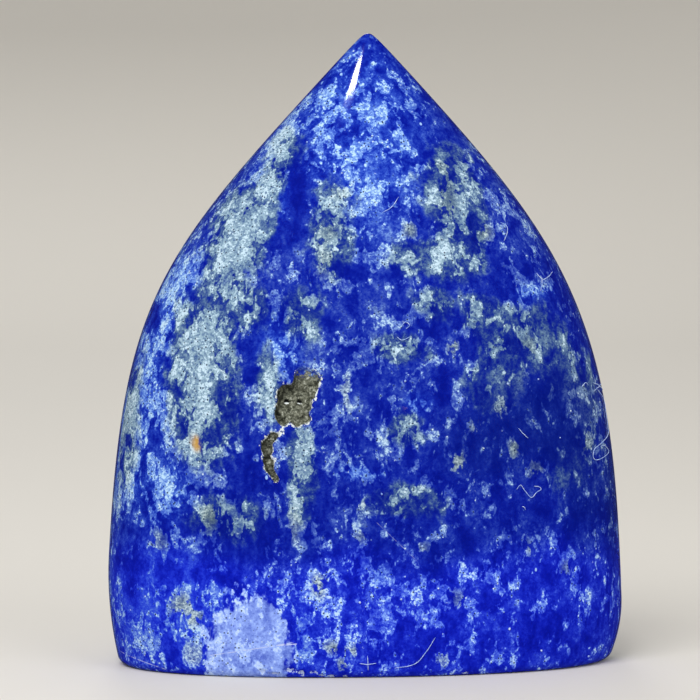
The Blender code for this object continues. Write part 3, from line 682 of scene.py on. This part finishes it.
# Eases from start to end while the value goes from low to high.
def easeNode(tree, value, low, high, start=0.0, end=1.0):
    sockets = {"Value": value, "From Min": low, "From Max": high, "To Min": start, "To Max": end}
    return addNode(tree, "MapRange", sockets, interpolation_type="SMOOTHSTEP").outputs["Result"]


def noiseNode(tree, place, grainSize, detail, roughness):
    sockets = {"Vector": place, "Scale": 1 / grainSize, "Detail": detail, "Roughness": roughness}
    return addNode(tree, "TexNoise", sockets)


# Crumbs: cells of one random value each. Gives the value, and the distance from the cell's middle.
def crumbNode(tree, place, grainSize):
    node = addNode(tree, "TexVoronoi", {"Vector": place, "Scale": 1 / grainSize})
    value = addNode(tree, "SeparateColor", {"Color": node.outputs["Color"]}).outputs[0]
    return value, node.outputs["Distance"]


def blend(tree, factor, first, second):
    return addNode(tree, "Mix", {0: factor, 6: first, 7: second}, data_type="RGBA").outputs[2]


def fieldOf(tree, name):
    return addNode(tree, "Attribute", {}, attribute_name=name).outputs["Fac"]


# A screen colour from 0 to 255 as the linear colour that the shader mixes.
def linearOf(red, green, blue):
    shares = (channel / 255 for channel in (red, green, blue))
    return tuple(s / 12.92 if s <= 0.04045 else ((s + 0.055) / 1.055) ** 2.4 for s in shares) + (1.0,)


# Reads a scale, whose places come first and its colours after them.
def colourScale(tree, value, scale):
    places, *colours = scale
    node = addNode(tree, "ValToRGB", {"Fac": value})
    elements = node.color_ramp.elements
    while len(elements) < len(colours):
        elements.new(0.5)
    for element, place, colour in zip(elements, places, colours):
        element.position = place
        element.color = linearOf(*colour)
    return node.outputs["Color"]


# Small dots: where a crumb's middle is near and its random value is above one less the share.
def dots(tree, place, grainSize, radius, share):
    value, distance = crumbNode(tree, place, grainSize)
    near = easeNode(tree, distance, radius * 0.6, radius, 1.0, 0.0)
    chosen = maths(tree, "GREATER_THAN", value, 1 - share)
    return maths(tree, "MULTIPLY", near, chosen)


# How far a field takes over, its edge broken up by the grit.
def brokenShare(tree, name, grit, depth, low, high):
    field = fieldOf(tree, name)
    share = easeNode(tree, addPart(tree, field, grit, depth), low, high)
    return maths(tree, "MULTIPLY", share, easeNode(tree, field, 0.0, 0.15))


# Where the eight colours of a scale lie from the darkest to the palest.
evenPlaces = (0.00, 0.14, 0.30, 0.45, 0.60, 0.75, 0.88, 1.00)

# Sizes are in millimetres. A span is the two levels between which something takes over.
stoneLooks = {
    "upright": 0.66,  # the pattern is drawn out along Z by one over this
    "bendGrain": 1.8,
    "bendDepth": 0.9,
    "cloudSize": 3.4,
    "cloudContrast": 1.9,
    "blotches": ((1.30, 2.8), (0.50, 1.6)),  # size and strength
    "strewn": 0.19,  # how much calcite lies where no marking does
    "calciteShares": {"calcite": 0.75, "haze": 0.22, "deep": -0.50},
    "calciteSpan": (0.33, 0.61),
    "reflectionCrooks": 0.5,
    "reflectionSpan": (0.36, 0.64),
    "dark": 0.27,  # lightness of the stone free of calcite
    "lightShares": {"trend": 1.0, "calcite": 0.42, "haze": 0.16, "deep": -0.12, "frost": 0.22},
    "lightSpan": (-0.20, 1.10),
    "lightest": 0.90,
    "unrest": (1.10, 0.25),  # how strongly crumbs show: this much more with lightness, and at none
    "crumbs": ((0.75, 0.10), (0.36, 0.20), (0.19, 0.32)),  # size and strength
    "stonyClouds": 1.5,
    "stonySpan": (0.95, 1.35),
    "stonyInDark": 0.45,  # how far dark places turn grey
    "stonyLight": (0.10, 0.45),
    "paleSpan": (0.40, 0.70),
    "stainSpan": (0.15, 0.45),
    # size, radius as a share of it, share of the crumbs that hold one, colour
    "darkDots": (0.42, 0.30, 0.55, (22, 34, 74)),
    "whiteDots": (0.55, 0.24, 0.16, (198, 218, 230)),
    "strayDots": (3.2, 0.06, 0.40, (150, 186, 240)),
    "stainColour": (190, 146, 56),
    "scratchColour": (196, 206, 236),
    "gritSize": 0.8,
    "gritSpread": (2.6, -0.8),  # times this, plus that
    "gritCrumbs": ((0.36, 0.34), (0.20, 0.46)),  # size and strength
    "gritShade": -0.34,
    # how deeply grit breaks an edge, and the span in which what lies inside takes over
    "floorEdge": (0.5, 0.55, 0.80),
    "rimEdge": (0.9, 0.95, 1.15),
    "chipEdge": (1.2, 1.15, 1.50),
    "holeSpan": (0.3, 0.7),
    # painted highlight on the pit rims and lips, and painted shade in the pin holes
    "rimGlintColour": (216, 224, 226),
    "holeShadeColour": (8, 9, 12),
    "chipColour": (176, 192, 232),
    "roughness": (0.06, 0.65),  # polished and broken
    "clear": (
        evenPlaces, (2, 15, 130), (6, 23, 144), (18, 39, 156), (34, 57, 165), (56, 81, 176), (88, 116, 193),
        (118, 148, 208), (172, 202, 230),
    ),
    "sky": (
        evenPlaces, (2, 15, 134), (7, 25, 150), (20, 46, 168), (42, 75, 190), (68, 104, 205),
        (102, 141, 220), (134, 173, 231), (182, 217, 246),
    ),
    "stony": (
        evenPlaces, (4, 20, 106), (16, 36, 120), (38, 62, 132), (68, 95, 144), (98, 126, 160),
        (128, 156, 179), (155, 183, 202), (193, 217, 234),
    ),
    # colours of the painted light from below on the lowest band
    "bounceLit": (
        evenPlaces, (3, 14, 148), (8, 22, 168), (17, 34, 186), (31, 52, 200), (54, 80, 213), (88, 119, 228),
        (128, 164, 240), (186, 216, 248),
    ),
    "electric": (
        evenPlaces, (6, 18, 160), (14, 30, 182), (27, 48, 204), (42, 70, 213), (62, 94, 213),
        (90, 126, 214), (124, 160, 226), (176, 210, 240),
    ),
    # colours of the painted shade
    "paintedShade": (
        (0.00, 0.30, 0.50, 0.70, 0.85, 1.00), (1, 16, 116), (9, 29, 130), (21, 43, 138), (42, 66, 150),
        (70, 96, 164), (124, 150, 190),
    ),
    # colours of the painted reflection
    "frost": (
        (0.00, 0.30, 0.60, 0.80, 1.00), (36, 52, 168), (98, 122, 211), (135, 161, 236), (158, 185, 248),
        (190, 213, 251),
    ),
    "olive": (
        (0.00, 0.30, 0.60, 0.80, 1.00), (12, 26, 84), (46, 64, 98), (94, 113, 120), (134, 152, 150),
        (188, 205, 204),
    ),
    "grit": (
        (0.00, 0.25, 0.50, 0.75, 1.00), (32, 34, 28), (66, 69, 58), (96, 99, 86), (125, 128, 114),
        (176, 180, 168),
    ),
    # start and end as across from the tip and up, half width and strength, all in millimetres
    "scratches": (
        ((-20.2, 2.5), (-10.3, 4.3), 0.07, 0.75), ((-29.9, 1.9), (-24.7, 0.5), 0.07, 0.6),
        ((-1.1, 18.4), (4.0, 13.5), 0.05, 0.30), ((-12.3, 3.9), (-10.0, 4.1), 0.09, 0.9),
    ),
}


def dotNode(tree, first, second):
    return addNode(tree, "VectorMath", {0: first, 1: second}, operation="DOT_PRODUCT").outputs["Value"]


# Hairlines: full on the line from start to end across the front face, none at half a width from it.
def scratches(tree, place, even):
    axisX, _ = axisPlace()
    broken = easeNode(tree, noiseNode(tree, even, 0.5, 1, 0.5).outputs["Fac"], 0.35, 0.60)
    total = None
    for start, end, halfWidth, strength in stoneLooks["scratches"]:
        startPoint = Vector((axisX + start[0] * mm, 0, start[1] * mm))
        run = Vector((end[0] - start[0], 0, end[1] - start[1])) * mm
        fromStart = addNode(tree, "VectorMath", {0: place, 1: startPoint}, operation="SUBTRACT")
        across = run.cross(Vector((0, 1, 0))).normalized()
        sideways = dotNode(tree, fromStart.outputs["Vector"], across)
        along = dotNode(tree, fromStart.outputs["Vector"], run / run.length_squared)
        offLine = maths(tree, "ABSOLUTE", sideways)
        near = easeNode(tree, offLine, 0.4 * halfWidth * mm, halfWidth * mm, strength, 0)
        fromMiddle = maths(tree, "ABSOLUTE", maths(tree, "SUBTRACT", along, 0.5))
        line = maths(tree, "MULTIPLY", near, easeNode(tree, fromMiddle, 0.44, 0.50, 1, 0))
        total = line if total is None else maths(tree, "MAXIMUM", total, line)
    inFront = easeNode(tree, addNode(tree, "SeparateXYZ", {0: place}).outputs[1], -0.001, 0.0, 1, 0)
    return maths(tree, "MULTIPLY", maths(tree, "MULTIPLY", total, broken), inFront)


# Where textures are read: plain places in millimetres, drawn out ones, and those bent into wisps.
def texturePlaces(tree, place):
    looks = stoneLooks
    plain = addNode(tree, "Mapping", {"Vector": place, "Scale": (1 / mm,) * 3}).outputs["Vector"]
    even = addNode(tree, "Mapping", {"Vector": plain, "Scale": (1, 1, looks["upright"])}).outputs["Vector"]
    bend = noiseNode(tree, even, looks["bendGrain"], 1, 0.6).outputs["Color"]
    sockets = {0: bend, 1: (looks["bendDepth"],) * 3, 2: even}
    wispy = addNode(tree, "VectorMath", sockets, operation="MULTIPLY_ADD").outputs["Vector"]
    return plain, even, wispy


# A total to which each named part is added, times its share.
def addShares(tree, total, parts, shares):
    for name, share in shares.items():
        total = addPart(tree, total, parts[name], share)
    return total


# Crumbs of several sizes added to a total, each swinging about none.
def addCrumbs(tree, total, place, sizes, unrest):
    for size, strength in sizes:
        crumb, _ = crumbNode(tree, place, size)
        swing = maths(tree, "MULTIPLY", maths(tree, "SUBTRACT", crumb, 0.5), unrest)
        total = addPart(tree, total, swing, strength)
    return total


# Lightness is clouds, crumbs, markings and painted light by height added up, the painted reflection among
# the markings. The markings, with crooked edges, come with it.
def lightness(tree, plain, wispy):
    looks = stoneLooks
    parts = {name: fieldOf(tree, name) for name in ("calcite", "haze", "deep", "frost", "trend")}
    crooks = 0.0
    for size, strength in looks["blotches"]:
        blotches = maths(tree, "SUBTRACT", noiseNode(tree, wispy, size, 2, 0.60).outputs["Fac"], 0.5)
        crooks = addPart(tree, crooks, blotches, strength)
    calcite = addShares(tree, maths(tree, "ADD", crooks, looks["strewn"]), parts, looks["calciteShares"])
    parts["calcite"] = easeNode(tree, calcite, *looks["calciteSpan"])
    frost = addPart(tree, parts["frost"], crooks, looks["reflectionCrooks"])
    parts["frost"] = easeNode(tree, frost, *looks["reflectionSpan"])
    parts["clouds"] = noiseNode(tree, wispy, looks["cloudSize"], 3, 0.80).outputs["Fac"]
    contrast = looks["cloudContrast"]
    light = maths(tree, "MULTIPLY_ADD", parts["clouds"], contrast, looks["dark"] - contrast / 2)
    light = addShares(tree, light, parts, looks["lightShares"])
    light = easeNode(tree, light, *looks["lightSpan"], 0.0, looks["lightest"])
    unrest = maths(tree, "MULTIPLY_ADD", light, *looks["unrest"])
    return addCrumbs(tree, light, plain, looks["crumbs"], unrest), parts


# One scale of colour for each kind of ground, and for the painted light from below, painted shade and
# painted reflection, all read at the same lightness.
def groundColour(tree, light, parts):
    looks = stoneLooks
    stony = addPart(tree, fieldOf(tree, "stony"), parts["clouds"], looks["stonyClouds"])
    greyer = easeNode(tree, light, *looks["stonyLight"], looks["stonyInDark"], 1.0)
    stony = maths(tree, "MULTIPLY", easeNode(tree, stony, *looks["stonySpan"]), greyer)
    olive = maths(tree, "MULTIPLY", fieldOf(tree, "olive"), parts["calcite"])
    grounds = {
        "sky": fieldOf(tree, "sky"), "bounceLit": fieldOf(tree, "bounceLightBand"), "electric": fieldOf(tree, "electric"),
        "stony": stony, "paintedShade": fieldOf(tree, "paintedShade"), "olive": olive, "frost": parts["frost"],
    }
    colour = colourScale(tree, light, looks["clear"])
    for name, share in grounds.items():
        colour = blend(tree, share, colour, colourScale(tree, light, looks[name]))
    return colour


# Dots, a stain and hairline scratches over the ground.
def flecked(tree, colour, light, place, plain, even):
    looks = stoneLooks
    pale = easeNode(tree, light, *looks["paleSpan"])
    kinds = (("darkDots", plain, pale), ("whiteDots", plain, pale), ("strayDots", even, 1.0))
    for name, where, share in kinds:
        size, radius, held, dotColour = looks[name]
        covered = maths(tree, "MULTIPLY", dots(tree, where, size, radius, held), share)
        colour = blend(tree, covered, colour, linearOf(*dotColour))
    stained = maths(tree, "MULTIPLY", fieldOf(tree, "stain"), easeNode(tree, light, *looks["stainSpan"]))
    colour = blend(tree, stained, colour, linearOf(*looks["stainColour"]))
    return blend(tree, scratches(tree, place, even), colour, linearOf(*looks["scratchColour"]))


# The polished stone, and over it the broken stone of the pits and chips, which is rough, with painted
# highlights on the pit rims and painted shade in the pin holes.
def lapisMaterial():
    looks = stoneLooks
    material, tree, shader = newMaterial("polishedLapis")
    place = addNode(tree, "TexCoord", {}).outputs["Object"]
    plain, even, wispy = texturePlaces(tree, place)
    light, parts = lightness(tree, plain, wispy)
    colour = flecked(tree, groundColour(tree, light, parts), light, place, plain, even)
    gritNoise = noiseNode(tree, plain, looks["gritSize"], 3, 0.9).outputs["Fac"]
    grit = maths(tree, "MULTIPLY_ADD", gritNoise, *looks["gritSpread"])
    grit = addCrumbs(tree, grit, plain, looks["gritCrumbs"], 1.0)
    floorShare = brokenShare(tree, "pitFloor", grit, *looks["floorEdge"])
    floorTone = addPart(tree, grit, fieldOf(tree, "pitShade"), looks["gritShade"])
    colour = blend(tree, floorShare, colour, colourScale(tree, floorTone, looks["grit"]))
    # Pale pit rims and hole lips, partly painted highlight, and the pin holes painted near black as shade.
    rimGlintShare = brokenShare(tree, "pitRimGlint", grit, *looks["rimEdge"])
    holeShadeShare = easeNode(tree, fieldOf(tree, "pitHole"), *looks["holeSpan"])
    chipShare = brokenShare(tree, "chip", grit, *looks["chipEdge"])
    for name, share in (("rimGlintColour", rimGlintShare), ("holeShadeColour", holeShadeShare), ("chipColour", chipShare)):
        colour = blend(tree, share, colour, linearOf(*looks[name]))
    tree.links.new(colour, shader.inputs["Base Color"])
    rough = easeNode(tree, maths(tree, "MAXIMUM", floorShare, chipShare), 0.0, 1.0, *looks["roughness"])
    tree.links.new(rough, shader.inputs["Roughness"])
    return material


# Lint that clings to the front face. Each fibre's points are millimetres across from the tip and up.
lint = {
    "radius": 0.042 * mm,
    "lift": 0.07 * mm,  # of a fibre's middle over the skin
    "bow": 0.16 * mm,  # how far a fibre's free stretches stand off it
    "sides": 6,
    "stepsPerPoint": 6,
    "dustRings": 5,
    "dustSides": 8,
    "dustGrain": 0.1 * mm,
    "dustLift": 0.3,  # of a grain's middle over the skin, as a share of its radius
    "fibres": (
        ((26.6, 32.9), (27.9, 31.4), (28.1, 29.7), (28.3, 28.2), (28.2, 27.2), (27.0, 26.4), (25.9, 25.8),
         (25.7, 25.0), (26.1, 24.5), (27.1, 24.6), (28.2, 25.2), (27.6, 26.0), (26.9, 26.0)),
        ((26.2, 32.5), (27.1, 33.0), (27.7, 33.2)),
        ((26.2, 33.5), (27.0, 33.1), (28.0, 32.4)),
        ((15.8, 21.6), (16.3, 22.1), (16.8, 21.4), (17.6, 20.6), (18.3, 21.2), (18.8, 21.5), (18.6, 21.8),
         (18.0, 21.9)),
        ((16.5, 19.6), (16.7, 19.5), (16.9, 19.2)),
        ((16.1, 28.7), (16.7, 28.0), (17.3, 27.5)),
        ((0.4, 53.8), (1.5, 54.4), (2.4, 55.6)),
        ((14.7, 52.6), (15.3, 52.2), (15.5, 51.5), (15.0, 50.4)),
        ((19.0, 46.6), (19.6, 45.7), (19.4, 44.5)),
        ((21.3, 46.7), (20.5, 46.1), (19.6, 45.7)),
        ((1.7, 39.5), (2.3, 39.1), (3.3, 39.5)),
        ((2.2, 40.6), (2.7, 41.2), (3.2, 40.8), (2.8, 40.4)),
        ((6.0, 4.7), (4.9, 3.0), (3.5, 1.6), (1.3, 1.2)),
        ((-2.8, 1.8), (-1.9, 1.7), (-0.9, 1.8)),
        ((-1.9, 2.7), (-1.85, 1.8), (-1.8, 1.0)),
        ((24.4, 33.1), (24.9, 33.6), (25.4, 33.3)),
    ),
    # dust grains: across, up, radius
    "dust": (
        (2.6, 34.4, 0.13), (3.0, 35.1, 0.10), (-7.0, 39.0, 0.12), (-8.4, 42.6, 0.10), (14.9, 33.9, 0.13),
        (18.7, 34.3, 0.10), (-7.9, 62.0, 0.10), (-0.2, 21.4, 0.12), (4.5, 15.3, 0.14), (-2.8, 8.9, 0.14),
        (-2.1, 8.4, 0.10), (2.0, 9.2, 0.12), (7.6, 1.9, 0.14), (14.2, 7.4, 0.10), (14.9, 5.4, 0.16),
        (18.9, 2.6, 0.12), (25.2, 1.3, 0.12), (-4.2, 12.6, 0.09), (10.6, 48.8, 0.09), (21.4, 27.4, 0.09),
    ),
}


# The front skin's point that lies this far across from the tip and up: the section's angle, found in rounds.
def frontSkin(across, up):
    around = np.full_like(across, -math.pi / 2)
    axisX, _ = axisPlace()
    half = np.where(across >= 0, sideReach("right", up), sideReach("left", up))
    for _ in range(6):
        share = np.clip(np.abs(across) / half, 0, 1) ** (stoneForm["sectionCorner"] / 2)
        around = -np.arccos(np.clip(share * np.sign(across), -1, 1))
        miss = across - (stoneSkin(up, around)[..., 0] - axisX)
        half = half * (1 - miss / np.maximum(np.abs(across), 0.1 * mm) * np.sign(across))
    return stoneSkin(up, around)


# Unit normals of the front skin, from its slopes across and up.
def frontOutward(across, up):
    step = 0.05 * mm
    sideways = frontSkin(across + step, up) - frontSkin(across - step, up)
    upwards = frontSkin(across, up + step) - frontSkin(across, up - step)
    outward = np.cross(sideways, upwards)
    return outward / np.linalg.norm(outward, axis=-1, keepdims=True)


# A smooth line through points: on each stretch a cubic whose slopes follow the neighbours on both sides.
def smoothLine(points, steps):
    points = np.array(points, float)
    before = np.vstack([2 * points[0] - points[1], points[:-1]])
    after = np.vstack([points[1:], 2 * points[-1] - points[-2]])
    slope = (after - before) / 2
    share = np.linspace(0, 1, steps, endpoint=False)[None, :, None]
    first, second = points[:-1, None], points[1:, None]
    cubic = (
        first * (2 * share**3 - 3 * share**2 + 1) + slope[:-1, None] * (share**3 - 2 * share**2 + share)
        + second * (3 * share**2 - 2 * share**3) + slope[1:, None] * (share**3 - share**2)
    )
    return np.vstack([cubic.reshape(-1, points.shape[1]), points[-1]])


# The two faces that close a tube whose points lie in rings.
def endCaps(count, sides):
    return [list(range(sides)), list(range(count - 1, count - 1 - sides, -1))]


# A fibre is a circle carried along its line, standing off the skin a little between its points.
def fibreMesh(fibre, number):
    line = smoothLine(fibre, lint["stepsPerPoint"]) * mm
    across, up = line[:, 0], line[:, 1]
    outward = frontOutward(across, up)
    travel = np.linspace(0, math.pi, len(line))
    standOff = lint["lift"] + lint["bow"] * np.sin(travel) ** 2 * (0.6 + 0.4 * np.sin(5 * travel + number))
    middle = frontSkin(across, up) + outward * standOff[:, None]
    along = np.gradient(middle, axis=0)
    side = np.cross(along, outward)
    side = side / np.linalg.norm(side, axis=1, keepdims=True)
    turn = np.linspace(0, 2 * math.pi, lint["sides"], endpoint=False)
    taper = lint["radius"] * (0.45 + 0.55 * np.sin(travel) ** 0.4)
    ring = side[:, None] * np.cos(turn)[None, :, None] + outward[:, None] * np.sin(turn)[None, :, None]
    tube = (middle[:, None] + ring * taper[:, None, None]).reshape(-1, 3)
    return tube, gridFaces(len(line), lint["sides"]).tolist() + endCaps(len(tube), lint["sides"])


# A dust grain is a small ball of a few rings, its radius wandering, set partly into the skin.
def grainMesh(across, up, radius, number):
    rings, sides = lint["dustRings"], lint["dustSides"]
    turn = np.linspace(0, 2 * math.pi, sides, endpoint=False)
    fall = np.linspace(0.12, 0.88, rings)[:, None] * math.pi
    rounds = [np.sin(fall) * np.cos(turn), np.sin(fall) * np.sin(turn), np.cos(fall) * np.ones_like(turn)]
    ball = np.stack(rounds, -1).reshape(-1, 3) * radius * mm
    ball = ball * (0.75 + 0.5 * cloud(ball + number * mm, lint["dustGrain"], 5))[:, None]
    place = np.array([across * mm]), np.array([up * mm])
    points = frontSkin(*place) + frontOutward(*place) * lint["dustLift"] * radius * mm + ball
    return points, gridFaces(rings, sides).tolist() + endCaps(len(points), sides)


def makeLint():
    parts = [fibreMesh(fibre, number) for number, fibre in enumerate(lint["fibres"])]
    parts += [grainMesh(*grain, number) for number, grain in enumerate(lint["dust"])]
    points, faces = [], []
    for partPoints, partFaces in parts:
        faces += [[corner + len(points) for corner in face] for face in partFaces]
        points += partPoints.tolist()
    fibres = newObject("lint_fibres", points, faces)
    material, tree, shader = newMaterial("paleLint")
    place = addNode(tree, "TexCoord", {}).outputs["Object"]
    patchy = noiseNode(tree, place, 0.4 * mm, 2, 0.6).outputs["Fac"]
    tint = blend(tree, easeNode(tree, patchy, 0.35, 0.65), linearOf(126, 160, 232), linearOf(196, 214, 248))
    tree.links.new(tint, shader.inputs["Base Color"])
    shader.inputs["Roughness"].default_value = 0.6
    fibres.data.materials.append(material)
    return fibres


floorForm = {"flat": 0.75, "wall": 1.9, "height": 0.9, "columns": 96, "curveRows": 28}


# A wide shallow bowl turned about Z: flat, then a quarter of an ellipse up to a low wall.
def paleFloor():
    form = floorForm
    around = np.linspace(0, 2 * math.pi, form["columns"], endpoint=False)
    share = np.linspace(0, math.pi / 2, form["curveRows"])
    curve = form["flat"] + (form["wall"] - form["flat"]) * np.sin(share)
    reach = np.concatenate([[0.02, 0.10, 0.30], curve])
    rise = np.concatenate([[0, 0, 0], form["height"] * (1 - np.cos(share))])
    x = reach[:, None] * np.cos(around)
    y = reach[:, None] * np.sin(around)
    points = np.stack([x, y, rise[:, None] * np.ones_like(x)], axis=-1).reshape(-1, 3)
    faces = gridFaces(len(reach), len(around)).tolist()
    faces.append(list(range(len(around))))
    floor = newObject("floor", points.tolist(), faces)
    floor.visible_glossy = False
    material, _, shader = newMaterial("paleFloor")
    shader.inputs["Base Color"].default_value = linearOf(228, 224, 216)
    shader.inputs["Roughness"].default_value = 0.7
    floor.data.materials.append(material)


# Unit vector towards a place seen at an azimuth from -Y, positive towards +X, and an elevation.
def directionFrom(azimuth, elevation):
    a, e = math.radians(azimuth), math.radians(elevation)
    return Vector((math.sin(a) * math.cos(e), -math.cos(a) * math.cos(e), math.sin(e)))


# azimuth, elevation, distance, width, height, watts, seen in reflections
lamps = {
    "keyLamp": (-30, 42, 1.1, 0.70, 0.70, 8.4, False),
    "fillLamp": (35, 20, 1.2, 0.80, 0.80, 4.2, False),
    "tipLamp": (-21, 62.8, 1.0, 0.11, 0.035, 0.6, True),
    "backLamp": (180, 30, 1.2, 0.30, 0.45, 1.6, True),
}


def placeLamps():
    target = Vector((0, 0, stoneForm["height"] / 2))
    for name, (azimuth, elevation, distance, width, height, watts, shiny) in lamps.items():
        light = bpy.data.lights.new(name, "AREA")
        light.shape = "RECTANGLE"
        light.size, light.size_y = width, height
        light.energy = watts
        lamp = bpy.data.objects.new(name, light)
        towards = directionFrom(azimuth, elevation)
        lamp.location = target + towards * distance
        lamp.rotation_euler = towards.to_track_quat("Z", "Y").to_euler()
        lamp.visible_glossy = shiny
        bpy.context.scene.collection.objects.link(lamp)


# Even pale surroundings, far dimmer where the polish mirrors them.
def paleWorld():
    world = bpy.data.worlds.new("paleWorld")
    bpy.context.scene.world = world
    world.use_nodes = True
    tree = world.node_tree
    background = tree.nodes["Background"]
    background.inputs["Color"].default_value = linearOf(214, 213, 212)
    rays = addNode(tree, "LightPath", {})
    dimmer = easeNode(tree, rays.outputs["Is Glossy Ray"], 0.0, 1.0, 0.72, 0.05)
    tree.links.new(dimmer, background.inputs["Strength"])


view = {
    "distance": 0.430,
    "azimuth": -6.63,
    "elevation": 3.0,
    "lookAt": 37.0 * mm,
    "lens": 184.95,
    "aimLeft": 2.14 * mm,  # the stone stands a little right of the picture's middle
    "aimUp": 0.24 * mm,
}


def placeCamera():
    axisX, axisY = axisPlace()
    back = directionFrom(view["azimuth"], view["elevation"])
    turn = math.radians(view["azimuth"])
    sideways = Vector((math.cos(turn), math.sin(turn), 0))
    look = Vector((axisX, axisY, view["lookAt"]))
    place = look + back * view["distance"]
    aim = look - sideways * view["aimLeft"] + back.cross(sideways) * view["aimUp"]
    data = bpy.data.cameras.new("camera")
    data.lens = view["lens"]
    data.sensor_width = 36.0
    data.clip_start = 0.01
    camera = bpy.data.objects.new("camera", data)
    camera.location = place
    camera.rotation_euler = (place - aim).to_track_quat("Z", "Y").to_euler()
    bpy.context.scene.collection.objects.link(camera)
    bpy.context.scene.camera = camera


placeCamera()
bpy.context.scene.view_settings.view_transform = "Standard"
paleWorld()
placeLamps()
paleFloor()
stone = makeStone()
stone.data.materials.append(lapisMaterial())
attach(stone, "root")
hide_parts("stone")
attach(makeLint(), "root")
